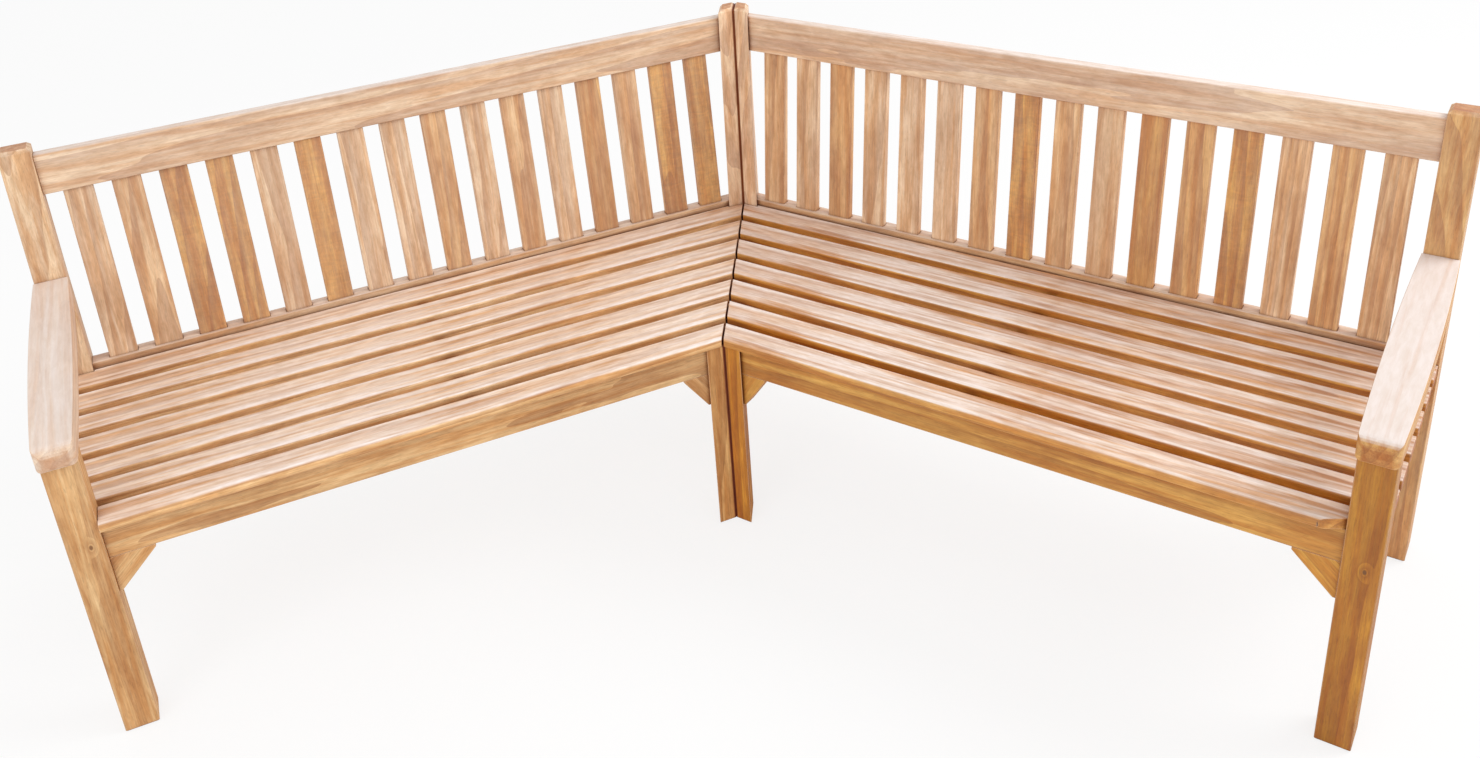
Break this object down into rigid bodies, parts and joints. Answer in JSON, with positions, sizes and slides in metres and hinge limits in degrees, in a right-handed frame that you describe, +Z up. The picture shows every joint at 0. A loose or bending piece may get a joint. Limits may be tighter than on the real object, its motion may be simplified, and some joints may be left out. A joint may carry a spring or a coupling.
{
  "type": "corner bench",
  "caption": "Slatted hardwood corner bench for a patio: two mitred bench halves with leaning backs, dished seats and an arm at each end.",
  "frame": {"origin": "on the floor, under the middle of the bounding box", "axes": "+Z up, +Y towards the corner post at the back, +X along the bench, to the right of a person who faces it; the mitre lies on the plane X = 0"},
  "size_m": [2.6362, 1.2644, 0.9],
  "materials": {
    "teak_frame": "oiled",
    "teak_rail": "oiled",
    "teak_seat": "oiled",
    "teak_back": "oiled",
    "teak_arm": "oiled, worn pale",
    "stainless_steel": "satin"
  },
  "bodies": {
    "root": {"end_post_right": "teak_frame", "end_leg_right": "teak_frame", "arm_right": "teak_arm", "side_rail_right": "teak_frame", "side_bracket_right": "teak_frame", "corner_post_right": "teak_frame", "corner_leg_right": "teak_frame", "corner_bearer_right": "teak_frame", "mid_bearer_right": "teak_frame", "front_apron_right": "teak_frame", "apron_end_bracket_right": "teak_frame", "apron_corner_bracket_right": "teak_frame", "back_bottom_rail_right": "teak_frame", "back_top_rail_right": "teak_rail", "seat_screws_right": "stainless_steel", "end_post_left": "teak_frame", "end_leg_left": "teak_frame", "arm_left": "teak_arm", "side_rail_left": "teak_frame", "side_bracket_left": "teak_frame", "corner_post_left": "teak_frame", "corner_leg_left": "teak_frame", "corner_bearer_left": "teak_frame", "mid_bearer_left": "teak_frame", "front_apron_left": "teak_frame", "apron_end_bracket_left": "teak_frame", "apron_corner_bracket_left": "teak_frame", "back_bottom_rail_left": "teak_frame", "back_top_rail_left": "teak_rail", "seat_screws_left": "stainless_steel", "seat_slat_1_right": "teak_seat", "seat_slat_2_right": "teak_seat", "seat_slat_3_right": "teak_seat", "seat_slat_4_right": "teak_seat", "seat_slat_5_right": "teak_seat", "seat_slat_6_right": "teak_seat", "seat_slat_7_right": "teak_seat", "seat_slat_1_left": "teak_seat", "seat_slat_2_left": "teak_seat", "seat_slat_3_left": "teak_seat", "seat_slat_4_left": "teak_seat", "seat_slat_5_left": "teak_seat", "seat_slat_6_left": "teak_seat", "seat_slat_7_left": "teak_seat", "back_slats_1_right": "teak_back", "back_slats_2_right": "teak_back", "back_slats_3_right": "teak_back", "back_slats_4_right": "teak_back", "back_slats_1_left": "teak_back", "back_slats_2_left": "teak_back", "back_slats_3_left": "teak_back", "back_slats_4_left": "teak_back", "corner_bolts": "stainless_steel", "corner_washers": "stainless_steel", "corner_nuts": "stainless_steel"}
  },
  "joints": []
}
